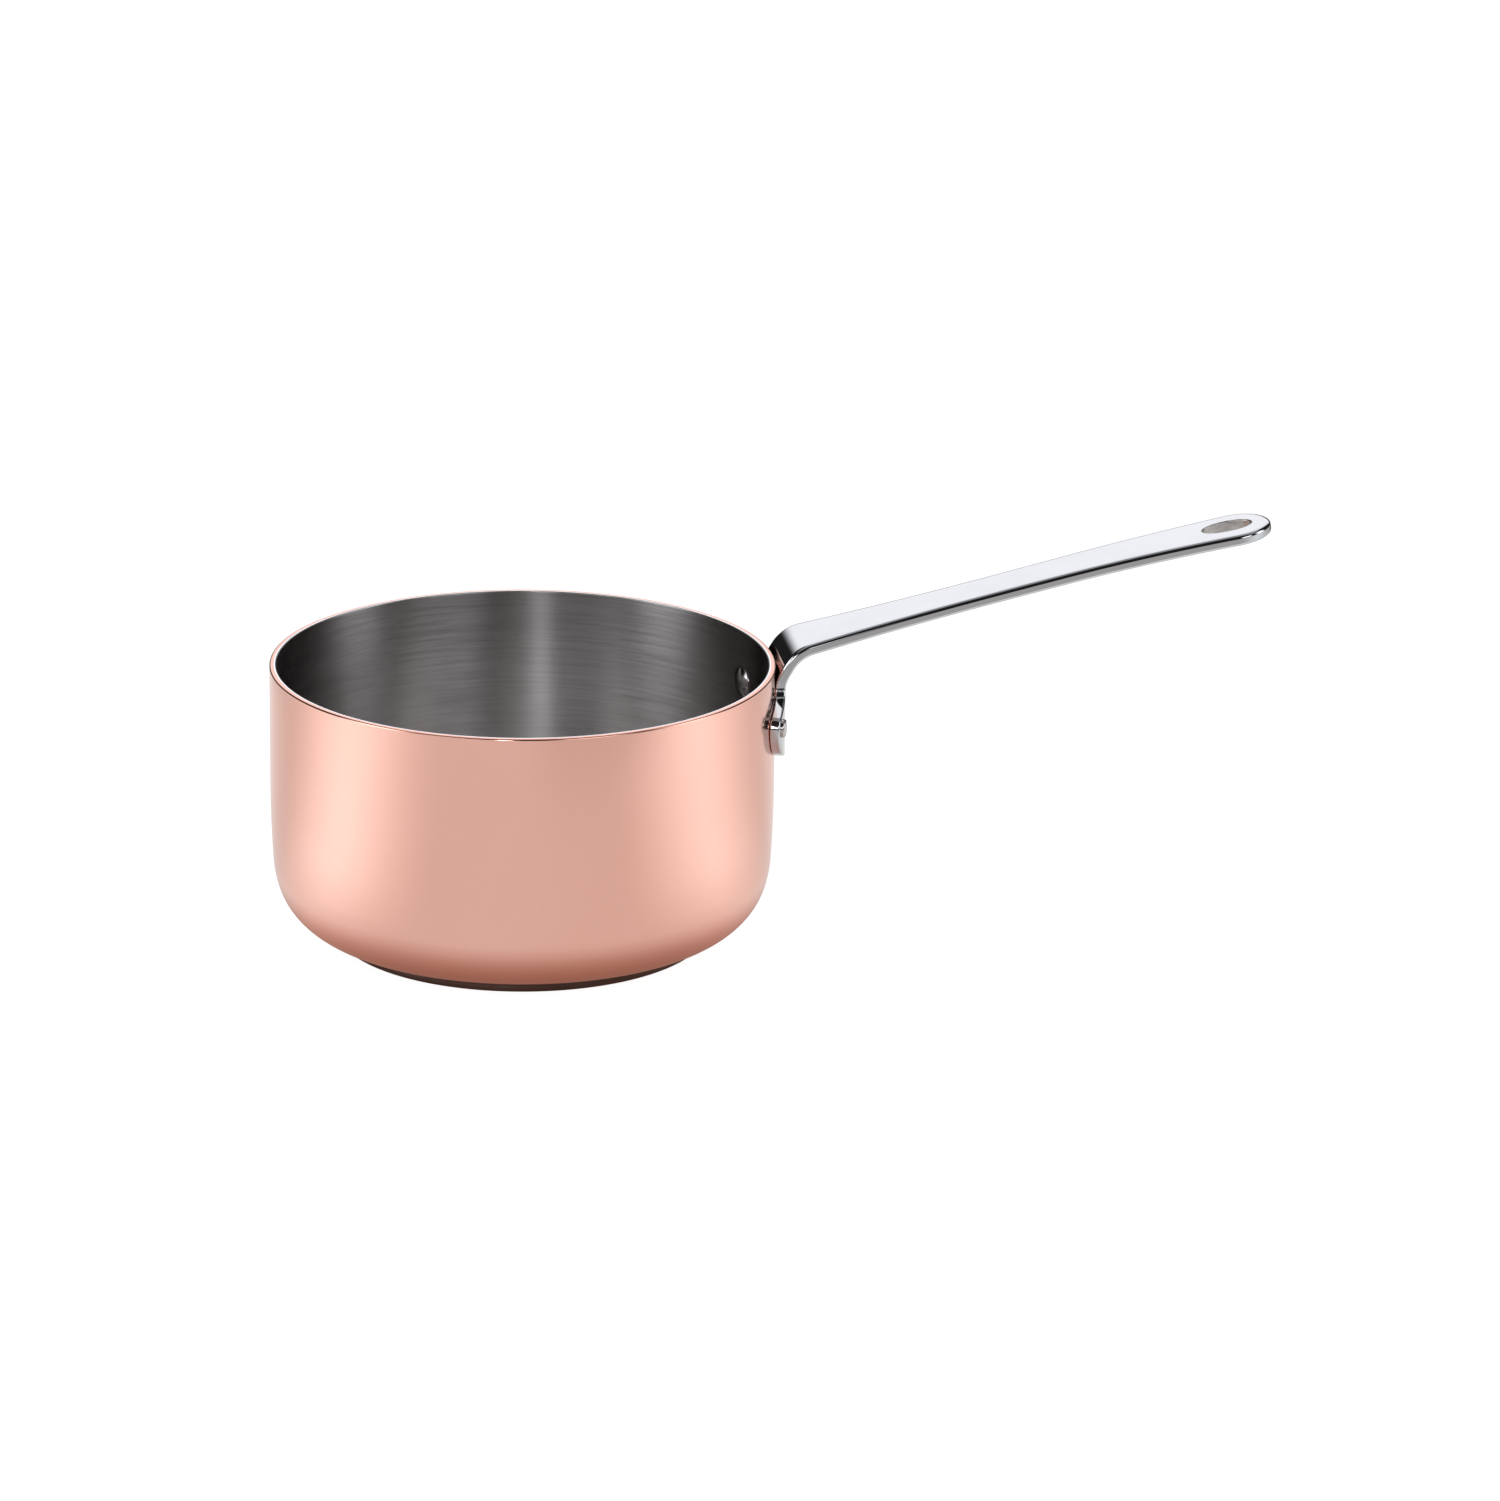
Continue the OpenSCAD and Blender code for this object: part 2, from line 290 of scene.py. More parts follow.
def rivet(name, side, material):
    """Domed head on the liner, shank, and button on the plate, turned on the rivet's own axis."""
    inner_r, plate_r = RIM_R - WALL_T, RIM_R + PLATE_T
    dome_h = HEAD_H - HEAD_EDGE_H
    rim_r = HEAD_R - HEAD_EDGE_R
    dome_r = (rim_r ** 2 + dome_h ** 2) / (2 * dome_h)
    dome_turn = math.asin(rim_r / dome_r)
    top = plate_r + BUTTON_H
    edge = inner_r - HEAD_EDGE_H
    dome_end = -math.pi / 2 + dome_turn
    outline = Outline()
    outline.arc((0, inner_r - HEAD_H + dome_r), dome_r, -math.pi / 2, dome_end, steps=14)
    outline.arc((rim_r, edge + HEAD_EDGE_R), HEAD_EDGE_R, dome_end, 0, steps=5)
    outline.line((HEAD_R, edge + HEAD_EDGE_R), (HEAD_R, inner_r), steps=2)
    outline.line((HEAD_R, inner_r), (SHANK_R, inner_r))
    outline.line((SHANK_R, inner_r), (SHANK_R, plate_r))
    outline.line((SHANK_R, plate_r), (BUTTON_R, plate_r))
    outline.line((BUTTON_R, plate_r), (BUTTON_R, top - BUTTON_EDGE_R), steps=3)
    corner = (BUTTON_R - BUTTON_EDGE_R, top - BUTTON_EDGE_R)
    outline.arc(corner, BUTTON_EDGE_R, 0, math.pi / 2, steps=6)
    outline.line((BUTTON_R - BUTTON_EDGE_R, top), (0, top), steps=4)
    points, faces, normals = turn(outline, RIVET_STEPS)

    # The feet of head and button follow the curved wall and plate
    across = points[:, 1]
    for radius, foot in ((HEAD_R, inner_r), (BUTTON_R, plate_r)):
        on_side = abs(np.hypot(points[:, 0], points[:, 1]) - radius) < TOUCHING
        ring = on_side & (abs(points[:, 2] - foot) < TOUCHING)
        points[ring, 2] = np.sqrt(foot ** 2 - across[ring] ** 2)

    # Local +Z becomes the outward direction at the rivet
    turn_out = Matrix.Rotation(side * RIVET_TURN, 3, "Z") @ Matrix.Rotation(math.pi / 2, 3, "Y")
    matrix = np.array(turn_out)
    points = points @ matrix.T + [0, 0, RIVET_Z]
    normals = (np.array(normals) @ matrix.T).tolist()
    return make_piece(name, points, faces, normals, [material])


# ---------------------------------------------------------------- handle

# Distances along the handle's wall side and upper side, from the plate's lowest point
U_BEND = BEND_Z - PLATE_LOW
U_ROOT = U_BEND + BEND_R * (math.pi / 2 - RISE)
U_SWEEP = U_ROOT + STRAIGHT_L
BEND_C = np.array([RIM_R + BEND_R, BEND_Z])
ROOT = BEND_C + BEND_R * np.array([-math.sin(RISE), math.cos(RISE)])
SWEEP_START = ROOT + STRAIGHT_L * np.array([math.cos(RISE), math.sin(RISE)])
SWEEP_C = SWEEP_START - SWEEP_R * np.array([-math.sin(RISE), math.cos(RISE)])

# Arcs of the strap's two sides on either side of the waist
TIP_X = REACH - TIP_LEAN - TIP_W / 2
ROOT_SIDE_R = ((WAIST_X - RIM_R) ** 2 + ((ROOT_W - WAIST_W) / 2) ** 2) / (ROOT_W - WAIST_W)
TIP_SIDE_R = ((TIP_X - WAIST_X) ** 2 + ((TIP_W - WAIST_W) / 2) ** 2) / (TIP_W - WAIST_W)


def blend_in(value, low, high):
    """0 up to low, 1 from high, with a smooth rise between them."""
    share = np.clip((np.asarray(value, float) - low) / (high - low), 0, 1)
    return share * share * (3 - 2 * share)


def along_handle(u):
    """Point (x, z) and inward normal (x, z) on the wall side at distance u."""
    u = np.asarray(u, float)
    bend = math.pi - np.clip(u - U_BEND, 0, U_ROOT - U_BEND) / BEND_R
    sweep = math.pi / 2 + RISE - np.maximum(u - U_SWEEP, 0) / SWEEP_R
    straight = np.clip(u - U_ROOT, 0, STRAIGHT_L)
    wall_x, wall_z = np.full_like(u, RIM_R), PLATE_LOW + u
    bend_x, bend_z = BEND_C[0] + BEND_R * np.cos(bend), BEND_C[1] + BEND_R * np.sin(bend)
    line_x, line_z = ROOT[0] + straight * math.cos(RISE), ROOT[1] + straight * math.sin(RISE)
    far_x, far_z = SWEEP_C[0] + SWEEP_R * np.cos(sweep), SWEEP_C[1] + SWEEP_R * np.sin(sweep)
    where = [u <= U_BEND, u <= U_ROOT, u <= U_SWEEP]
    x = np.select(where, [wall_x, bend_x, line_x], far_x)
    z = np.select(where, [wall_z, bend_z, line_z], far_z)
    angle = np.where(u <= U_ROOT, bend, sweep)
    return x, z, -np.cos(angle), -np.sin(angle)


def cross_curve(u):
    """Curvature across the handle: that of the pot on the wall, almost none on the strap."""
    fade = blend_in(u, U_BEND + CURVE_END_FROM, U_BEND + CURVE_END_TO)
    return (1 - fade) / RIM_R + LEAST_CURVE


def thickness(u):
    """Thickness of the handle, growing from the plate's to the strap's in the bend."""
    return PLATE_T + (STRAP_T - PLATE_T) * blend_in(u, U_BEND + THICKEN_FROM, U_ROOT)


def place(slab):
    """Maps (along u, across v, depth w) to the handle's real shape."""
    u, v, w = np.asarray(slab, float).T
    x, z, nx, nz = along_handle(u)
    curve = cross_curve(u)
    turned = curve * v
    sag = (1 - np.cos(turned)) / curve
    depth = w * np.cos(turned) - sag
    return np.column_stack([x + nx * depth, np.sin(turned) * (1 / curve + w), z + nz * depth])


def place_normals(slab, slab_normals):
    """Normals of the mapped surface, from the mapping's local stretch."""
    step = 0.01
    slab = np.asarray(slab, float)
    columns = []
    for axis in range(3):
        shift = np.zeros(3)
        shift[axis] = step
        columns.append((place(slab + shift) - place(slab - shift)) / (2 * step))
    stretch = np.stack(columns, axis=2).transpose(0, 2, 1)
    normals = np.linalg.solve(stretch, np.asarray(slab_normals)[:, :, None])[:, :, 0]
    return normals / np.linalg.norm(normals, axis=1, keepdims=True)


def half_width(x):
    """Half the strap's width at a distance from the pot's axis, up to the rounded tip."""
    x = np.asarray(x, float)
    radius = np.where(x < WAIST_X, ROOT_SIDE_R, TIP_SIDE_R)
    return WAIST_W / 2 + radius - np.sqrt(radius ** 2 - (x - WAIST_X) ** 2)


def u_on_strap(x):
    """Distance along the strap's upper side at a distance from the pot's axis."""
    x = np.asarray(x, float)
    bend = np.arccos(np.clip((x - BEND_C[0]) / BEND_R, -1, 0))
    on_bend = U_BEND + BEND_R * (math.pi - bend)
    on_line = U_ROOT + (x - ROOT[0]) / math.cos(RISE)
    sweep = np.arccos(np.clip((x - SWEEP_C[0]) / SWEEP_R, -1, 1))
    on_sweep = U_SWEEP + SWEEP_R * (math.pi / 2 + RISE - sweep)
    return np.select([x < ROOT[0], x < SWEEP_START[0]], [on_bend, on_line], on_sweep)


def arc_points(centre, radius, start, end, spacing):
    """Points along an arc between two angles, in three steps or more."""
    steps = max(3, round(abs(end - start) * radius / spacing))
    angles = np.linspace(start, end, steps + 1)
    return np.array(centre) + radius * np.column_stack([np.cos(angles), np.sin(angles)])


def line_points(start, end, spacing):
    """Points along a straight line, both ends among them."""
    steps = max(1, round(np.linalg.norm(np.subtract(end, start)) / spacing))
    return np.linspace(start, end, steps + 1)


def plate_side(spacing):
    """The plate's +Y outline as (y, z), from its lowest point up to where the bend begins."""
    side = half_width(RIM_R)
    keel_c = np.array([0, PLATE_LOW + KEEL_R])
    across, between = EAR_REACH - EAR_LOW_R, KEEL_R - EAR_LOW_R
    keel_turn = math.asin(across / between)
    ear_z = keel_c[1] - between * math.cos(keel_turn)
    keel = arc_points(keel_c, KEEL_R, -math.pi / 2, -math.pi / 2 + keel_turn, spacing)
    low = arc_points((across, ear_z), EAR_LOW_R, -math.pi / 2 + keel_turn, 0, spacing)
    top_c = (EAR_REACH - EAR_TOP_R, ear_z)
    top = arc_points(top_c, EAR_TOP_R, 0, math.pi / 2 - BROW_SLOPE, spacing / 2)
    brow = top[-1]
    neck_z = brow[1] + (brow[0] - side) * math.tan(BROW_SLOPE)
    neck_c = (side + NECK_R, neck_z + NECK_R * (1 / math.cos(BROW_SLOPE) - math.tan(BROW_SLOPE)))
    neck = arc_points(neck_c, NECK_R, 1.5 * math.pi - BROW_SLOPE, math.pi, spacing / 2)
    edge = line_points(brow, neck[0], spacing)
    return np.concatenate([keel, low[1:], top[1:], edge[1:], neck[1:]])


def handle_outline(spacing):
    """The handle's outline as (u, v), once round from the plate's lowest point, +Y side first."""
    plate = plate_side(spacing)
    plate = np.column_stack([plate[:, 1] - PLATE_LOW, plate[:, 0]])
    bend_u = np.linspace(plate[-1, 0], U_ROOT, round((U_ROOT - plate[-1, 0]) / spacing) + 1)[1:]
    bend = np.column_stack([bend_u, half_width(along_handle(bend_u)[0])])
    x = np.linspace(ROOT[0], TIP_X, round((TIP_X - ROOT[0]) / spacing))[1:]
    strap = np.column_stack([u_on_strap(x), half_width(x)])
    tip = arc_points((TIP_X, 0), TIP_W / 2, math.pi / 2, 0, spacing)[1:]
    tip = np.column_stack([u_on_strap(tip[:, 0]), tip[:, 1]])
    half = np.concatenate([plate, bend, strap, tip])

    # Widths hold at mid thickness, and become distances along the curved slab
    curve = cross_curve(half[:, 0])
    half[:, 1] = np.arcsin(curve * half[:, 1] / (1 + curve * thickness(half[:, 0]) / 2)) / curve
    other = half[-2:0:-1] * [1, -1]
    return np.concatenate([half, other])


def ring_normals(loop):
    """Unit vectors at a loop's points, pointing right of its travel."""
    along = np.roll(loop, -1, axis=0) - np.roll(loop, 1, axis=0)
    along /= np.linalg.norm(along, axis=1, keepdims=True)
    return np.column_stack([along[:, 1], -along[:, 0]])


def inside(points, loop):
    """Which points lie inside a closed loop."""
    found = np.zeros(len(points), bool)
    for (ax, ay), (bx, by) in zip(loop, np.roll(loop, -1, axis=0)):
        crosses = (points[:, 1] < ay) != (points[:, 1] < by)
        if crosses.any():
            x = ax + (points[crosses, 1] - ay) * (bx - ax) / (by - ay)
            found[crosses] ^= points[crosses, 0] < x
    return found


def fill(loops, spacing):
    """Points and triangles over the first loop less the others, with a grid of points inside."""
    border = np.concatenate(loops)
    low, high = border.min(0), border.max(0)
    row_step = spacing * math.sqrt(3) / 2
    grid = np.array([
        (x + (row % 2) * spacing / 2, y)
        for row, y in enumerate(np.arange(low[1], high[1], row_step))
        for x in np.arange(low[0], high[0], spacing)
    ])
    wanted = inside(grid, loops[0])
    for loop in loops[1:]:
        wanted &= ~inside(grid, loop)
    grid = grid[wanted]
    # Grid points too near the border would make slivers
    least_gap = 0.6 * spacing
    gaps = np.array([np.min(np.hypot(*(border - p).T)) for p in grid])
    grid = grid[gaps > least_gap]
    edges, first = [], 0
    for loop in loops:
        count = len(loop)
        edges += [(first + i, first + (i + 1) % count) for i in range(count)]
        first += count
    points = np.concatenate([border, grid])
    all_triangles, tolerance = 0, 1e-6
    found = delaunay_2d_cdt([Vector(p) for p in points], edges, [], all_triangles, tolerance)
    triangles = np.array(found[2])
    middles = points[triangles].mean(axis=1)
    keep = inside(middles, loops[0])
    for loop in loops[1:]:
        keep &= ~inside(middles, loop)
    return points, triangles[keep]


def oval(centre, length, width, steps):
    """A closed loop of points on an ellipse, turning right."""
    angles = np.linspace(0, -2 * math.pi, steps, endpoint=False)
    circle = np.column_stack([np.cos(angles), np.sin(angles)])
    return np.array(centre) + circle * [length / 2, width / 2]


def handle(polished, satin):
    """One-piece handle: a slab with rounded edges and real holes, bent to shape.

    Side 0 of the slab faces the pot and goes on as the strap's upper side; side 1 is the other.
    """
    hole_u = u_on_strap(REACH - HOLE_MARGIN - HOLE_L / 2)
    shank_u, shank_v = RIVET_Z - PLATE_LOW, RIM_R * RIVET_TURN
    loops = [
        handle_outline(HANDLE_SPACING),
        oval((hole_u, 0), HOLE_L, HOLE_W, HANGING_HOLE_STEPS),
        oval((shank_u, shank_v), 2 * SHANK_R, 2 * SHANK_R, SHANK_HOLE_STEPS),
        oval((shank_u, -shank_v), 2 * SHANK_R, 2 * SHANK_R, SHANK_HOLE_STEPS),
    ]
    # The outline's rounding changes along the handle, so it has no pair of its own
    edges = [None, HOLE_EDGES, SHANK_HOLE_EDGES, SHANK_HOLE_EDGES]
    polished_slot, satin_slot = 0, 1
    slab, slab_normals, faces, slots = [], [], [], []

    def add_points(uv, w, normal):
        """Adds points at a depth and gives the index of the first."""
        first = len(slab)
        slab.extend(np.column_stack([uv, w]))
        slab_normals.extend(normal)
        return first

    flat_loops = {0: [], 1: []}
    flat_first = {0: [], 1: []}
    for number, (loop, edge_pair) in enumerate(zip(loops, edges)):
        # The metal lies inside the first loop and outside the others
        outward = ring_normals(loop)
        u, v = loop.T
        turns_left = np.sum(u * np.roll(v, -1) - np.roll(u, -1) * v) > 0
        if turns_left != (number == 0):
            outward = -outward
        count = len(loop)
        deep = thickness(u)
        rings = []
        for side in (0, 1):
            if edge_pair is None:
                share = blend_in(u, U_BEND + EDGE_CHANGE_FROM, U_ROOT)
                change = STRAP_EDGES[side] - PLATE_EDGES[side]
                inwards, down = (PLATE_EDGES[side] + np.outer(share, change)).T
            else:
                inwards, down = np.tile(edge_pair[side], (count, 1)).T
            angles = np.linspace(0, math.pi / 2, EDGE_POINTS)
            for angle in (angles[::-1] if side else angles):
                inset = inwards * (1 - math.sin(angle))
                sunk = down * (1 - math.cos(angle))
                out = outward * (down * math.sin(angle))[:, None]
                up = inwards * math.cos(angle) * (1 if side else -1)
                normal = np.column_stack([out, up])
                normal /= np.linalg.norm(normal, axis=1, keepdims=True)
                w = deep - sunk if side else sunk
                rings.append(add_points(loop - outward * inset[:, None], w, normal))
            flat_loops[side].append(loop - outward * inwards[:, None])
            flat_first[side].append(rings[-1 if side else 0])
        for above, below in zip(rings, rings[1:]):
            for i in range(count):
                j = (i + 1) % count
                faces.append([above + i, above + j, below + j, below + i])
                slots.append(polished_slot if number == 0 else satin_slot)

    for side in (0, 1):
        points, triangles = fill(flat_loops[side], HANDLE_SPACING)
        border = sum(len(loop) for loop in flat_loops[side])
        indices = np.concatenate([
            first + np.arange(len(loop)) for first, loop in zip(flat_first[side], flat_loops[side])
        ])
        extra = points[border:]
        w = thickness(extra[:, 0]) if side else np.zeros(len(extra))
        normal = np.tile([0, 0, 1.0 if side else -1.0], (len(extra), 1))
        first = add_points(extra, w, normal)
        indices = np.concatenate([indices, first + np.arange(len(extra))])
        faces += [list(map(int, indices[t])) for t in triangles]
        slots += [polished_slot] * len(triangles)

    slab, slab_normals = np.array(slab), np.array(slab_normals)
    points = place(slab)
    normals = place_normals(slab, slab_normals)
    # Every face is turned to agree with the normals at its corners
    for face in faces:
        a, b, c = points[face[0]], points[face[1]], points[face[2]]
        if np.dot(np.cross(b - a, c - a), normals[face].sum(0)) < 0:
            face.reverse()
    corner_normals = [normals[i].tolist() for face in faces for i in face]
    return make_piece("handle_polished", points, faces, corner_normals, [polished, satin], slots)


# ---------------------------------------------------------------- materials

# Colours of the finishes: pairs that noise mixes, and single ones laid over them
COPPER = (0.95, 0.55, 0.455), (0.93, 0.53, 0.43)
COPPER_BLOTCH = (0.91, 0.505, 0.40)
COPPER_SPECK = (0.50, 0.24, 0.16)
# Painted shade: darker copper for the rim top, so that it mirrors less of the bright backdrop
COPPER_RIM_SHADE = (0.72, 0.36, 0.27)
# Liner: the darker pair near the rim is painted shade, the paler pair lower down is painted light
LINER_SHADED_TOP = (0.37, 0.355, 0.345), (0.48, 0.465, 0.455)
LINER_LIT_LOW = (0.62, 0.595, 0.585), (0.72, 0.70, 0.69)
LINER_STAIN = (0.46, 0.42, 0.39)
# Painted shade: dark edge tint for the liner's glancing sides
LINER_GLANCE_SHADE = (0.15, 0.12, 0.12, 1)
GROUND_ALUMINIUM = (0.80, 0.82, 0.84), (0.88, 0.89, 0.90)
ROLLED_ALUMINIUM = (0.72, 0.73, 0.74), (0.80, 0.81, 0.82)
# Painted shade: the base steel is very dark brown in place of the dark it mirrors near the table
SHADED_BASE_STEEL = (0.11, 0.08, 0.07), (0.155, 0.12, 0.108)
BASE_MARK = (0.08, 0.055, 0.045)
POLISHED_STEEL = (0.52, 0.52, 0.53), (0.49, 0.49, 0.495)
HOLE_STEEL = (0.40, 0.37, 0.345), (0.52, 0.49, 0.47)
RIVET_STEEL = (0.43, 0.405, 0.39), (0.51, 0.485, 0.47)

# A Mix node's sockets: values, colours and the mixed colour
VALUE_A, VALUE_B, COLOUR_A, COLOUR_B, MIXED_COLOUR = 2, 3, 6, 7, 2


class Graph:
    """A node tree with short ways to add and join nodes."""

    def __init__(self, tree):
        self.tree = tree

    def add(self, kind, inputs=None, **settings):
        """A new node with its settings made and its inputs set or linked."""
        made = self.tree.nodes.new(kind)
        for name, value in settings.items():
            setattr(made, name, value)
        for name, value in (inputs or {}).items():
            self.put(made.inputs[name], value)
        return made

    def put(self, socket, value):
        """Links an input to an output or to a node's first output, or sets its value."""
        if isinstance(value, bpy.types.NodeSocket):
            self.tree.links.new(value, socket)
        elif isinstance(value, bpy.types.Node):
            self.tree.links.new(value.outputs[0], socket)
        else:
            socket.default_value = value

    def maths(self, operation, a, b=0.0):
        """The result of one operation on one or two numbers."""
        return self.add("ShaderNodeMath", {0: a, 1: b}, operation=operation).outputs[0]

    def plus(self, a, b):
        """The sum of two numbers."""
        return self.maths("ADD", a, b)

    def times(self, a, b):
        """The product of two numbers."""
        return self.maths("MULTIPLY", a, b)

    def ease(self, value, low, high, start=0.0, end=1.0):
        """start below low, end above high, with a smooth change between them."""
        inputs = {"Value": value, "From Min": low, "From Max": high, "To Min": start, "To Max": end}
        return self.add("ShaderNodeMapRange", inputs, interpolation_type="SMOOTHSTEP").outputs[0]

    def window(self, value, low, high, soft):
        """1 between low and high, 0 outside, with soft edges."""
        rise = self.ease(value, low - soft, low + soft)
        fall = self.ease(value, high - soft, high + soft, 1.0, 0.0)
        return self.times(rise, fall)

    def noise(self, vector, scale=1.0, detail=2.0, roughness=0.5):
        """Noise between 0 and 1."""
        inputs = {"Vector": vector, "Scale": scale, "Detail": detail, "Roughness": roughness}
        return self.add("ShaderNodeTexNoise", inputs).outputs[0]

    def scaled(self, vector, factors):
        """A vector with each part multiplied by its own factor."""
        inputs = {0: vector, 1: factors}
        return self.add("ShaderNodeVectorMath", inputs, operation="MULTIPLY").outputs[0]

    def from_axis(self, point):
        """Distance of a point from the Z axis."""
        flat = self.scaled(point, (1, 1, 0))
        return self.add("ShaderNodeVectorMath", {0: flat}, operation="LENGTH").outputs["Value"]

    def blend(self, share, first, second):
        """The first value at share 0, the second at share 1."""
        inputs = {"Factor": share, VALUE_A: first, VALUE_B: second}
        return self.add("ShaderNodeMix", inputs, data_type="FLOAT").outputs[0]

    def blend_colours(self, share, first, second):
        """The first colour at share 0, the second at share 1."""
        made = self.add("ShaderNodeMix", {"Factor": share}, data_type="RGBA")
        for number, colour in ((COLOUR_A, first), (COLOUR_B, second)):
            self.put(made.inputs[number], (*colour, 1) if isinstance(colour, tuple) else colour)
        return made.outputs[MIXED_COLOUR]

    def point(self):
        """The place on the surface, in metres in the object's frame."""
        return self.add("ShaderNodeTexCoord").outputs["Object"]

    def split(self, vector):
        """X, Y and Z of a vector."""
        return self.add("ShaderNodeSeparateXYZ", {0: vector}).outputs

    def bump(self, height, strength, depth, under=None):
        """A normal tilted by a height of a depth in metres, on top of another one if given."""
        inputs = {"Height": height, "Strength": strength, "Distance": depth}
        if under is not None:
            inputs["Normal"] = under
        return self.add("ShaderNodeBump", inputs).outputs[0]


class Finish(Graph):
    """One material around a Principled shader."""

    def __init__(self, name):
        self.material = bpy.data.materials.new(name)
        self.material.use_nodes = True
        super().__init__(self.material.node_tree)
        self.shader = self.tree.nodes["Principled BSDF"]

    def set(self, **sockets):
        """Sets or links the shader's inputs, given by their names."""
        for name, value in sockets.items():
            self.put(self.shader.inputs[name.replace("_", " ").title()], value)

    def mixed(self, value, low, high, pair):
        """A pair of colours: the first where the value is below low, the second above high."""
        return self.blend_colours(self.ease(value, low, high), *pair)

    def round_lines(self, width, length, detail, roughness):
        """Noise in lines round the Z axis, of about this width and length in metres."""
        point = self.point()
        x, y, z = self.split(point)[:3]
        inputs = {
            0: self.times(x, 1 / length),
            1: self.times(y, 1 / length),
            2: self.times(self.plus(z, self.from_axis(point)), 1 / width),
        }
        stretched = self.add("ShaderNodeCombineXYZ", inputs).outputs[0]
        return self.noise(stretched, detail=detail, roughness=roughness)

    def brush_round(self, amount):
        """Spreads highlights across lines that run round the Z axis."""
        tangent = self.add("ShaderNodeTangent", direction_type="RADIAL", axis="Z")
        quarter_turn = 0.25
        self.set(anisotropic=amount, anisotropic_rotation=quarter_turn, tangent=tangent)


def copper_finish():
    """Satin-polished copper: fine lines round the pot, soft blotches, specks and a darker rim top
    of painted shade.
    """
    finish = Finish("satin_copper")
    point = finish.point()
    lines = finish.round_lines(width=0.0005, length=0.03, detail=3.0, roughness=0.6)
    blotches = finish.noise(finish.scaled(point, (1, 1, 0.6)), 28.0, detail=4.0, roughness=0.55)
    clouds = finish.noise(point, 9.0)
    specks = finish.ease(finish.noise(point, 900.0, detail=1.0), 0.78, 0.82, end=0.35)
    # Painted shade: the copper darkens at the rim top so that it mirrors less of the bright
    # backdrop
    rim_from, rim_to = (RIM_H - COPPER_EDGE_R) * MM, (RIM_H - COPPER_EDGE_R / 3) * MM
    rim = finish.ease(finish.split(point)[2], rim_from, rim_to)
    colour = finish.mixed(clouds, 0.35, 0.65, COPPER)
    colour = finish.blend_colours(finish.ease(blotches, 0.3, 0.8, end=0.4), colour, COPPER_BLOTCH)
    colour = finish.blend_colours(specks, colour, COPPER_SPECK)
    colour = finish.blend_colours(rim, colour, COPPER_RIM_SHADE)
    rough = finish.ease(blotches, 0.2, 0.8, start=0.12, end=0.17)
    rough = finish.plus(rough, finish.times(lines, 0.03))
    normal = finish.bump(lines, strength=0.06, depth=0.0001)
    finish.set(base_color=colour, metallic=1.0, roughness=rough, normal=normal)
    finish.brush_round(0.3)
    return finish.material


def liner_finish():
    """Stainless steel brushed round the pot, with a few stains; darker towards the rim as painted
    shade and paler lower down as painted light.
    """
    finish = Finish("brushed_liner")
    point = finish.point()
    coarse = finish.round_lines(width=0.0011, length=0.04, detail=4.0, roughness=0.65)
    fine = finish.round_lines(width=0.0003, length=0.015, detail=2.0, roughness=0.5)
    lines = finish.blend(0.4, coarse, fine)
    stains = finish.ease(finish.noise(point, 22.0, detail=3.0, roughness=0.6), 0.5, 0.8, end=0.35)
    # Painted shade towards the rim and painted light lower down: the colour goes from the paler
    # pair to the darker pair with height
    height = finish.ease(finish.split(point)[2], 0.3 * RIM_H * MM, RIM_H * MM)
    top = finish.mixed(lines, 0.3, 0.7, LINER_SHADED_TOP)
    low = finish.mixed(lines, 0.3, 0.7, LINER_LIT_LOW)
    colour = finish.blend_colours(stains, finish.blend_colours(height, low, top), LINER_STAIN)
    rough = finish.ease(lines, 0.2, 0.8, start=0.27, end=0.35)
    normal = finish.bump(lines, strength=0.2, depth=0.00015)
    finish.set(base_color=colour, metallic=1.0, roughness=rough, normal=normal)
    # Painted shade: a dark edge tint keeps the sides, which are seen at a glancing angle, dark
    finish.set(specular_tint=LINER_GLANCE_SHADE)
    finish.brush_round(0.9)
    return finish.material


def core_finish():
    """Aluminium, seen only as the bright ground edge at the rim."""
    finish = Finish("ground_aluminium")
    lines = finish.round_lines(width=0.0004, length=0.008, detail=3.0, roughness=0.6)
    colour = finish.mixed(lines, 0.3, 0.7, GROUND_ALUMINIUM)
    rough = finish.ease(lines, 0.2, 0.8, start=0.22, end=0.32)
    normal = finish.bump(lines, strength=0.15, depth=0.0001)
    finish.set(base_color=colour, metallic=1.0, roughness=rough, normal=normal)
    return finish.material


def base_finish():
    """Turned magnetic steel, marked, with a very dark brown colour that is painted shade."""
    finish = Finish("turned_base_steel")
    lines = finish.round_lines(width=0.0008, length=0.05, detail=3.0, roughness=0.6)
    marks = finish.noise(finish.point(), 60.0, detail=4.0, roughness=0.6)
    # Painted shade: very dark brown steel in place of the dark surroundings it mirrors
    colour = finish.mixed(lines, 0.3, 0.7, SHADED_BASE_STEEL)
    colour = finish.blend_colours(finish.ease(marks, 0.45, 0.75, end=0.6), colour, BASE_MARK)
    rough = finish.ease(marks, 0.3, 0.7, start=0.3, end=0.42)
    normal = finish.bump(lines, strength=0.3, depth=0.0002)
    finish.set(base_color=colour, metallic=1.0, roughness=rough, normal=normal)
    finish.brush_round(0.5)
    return finish.material


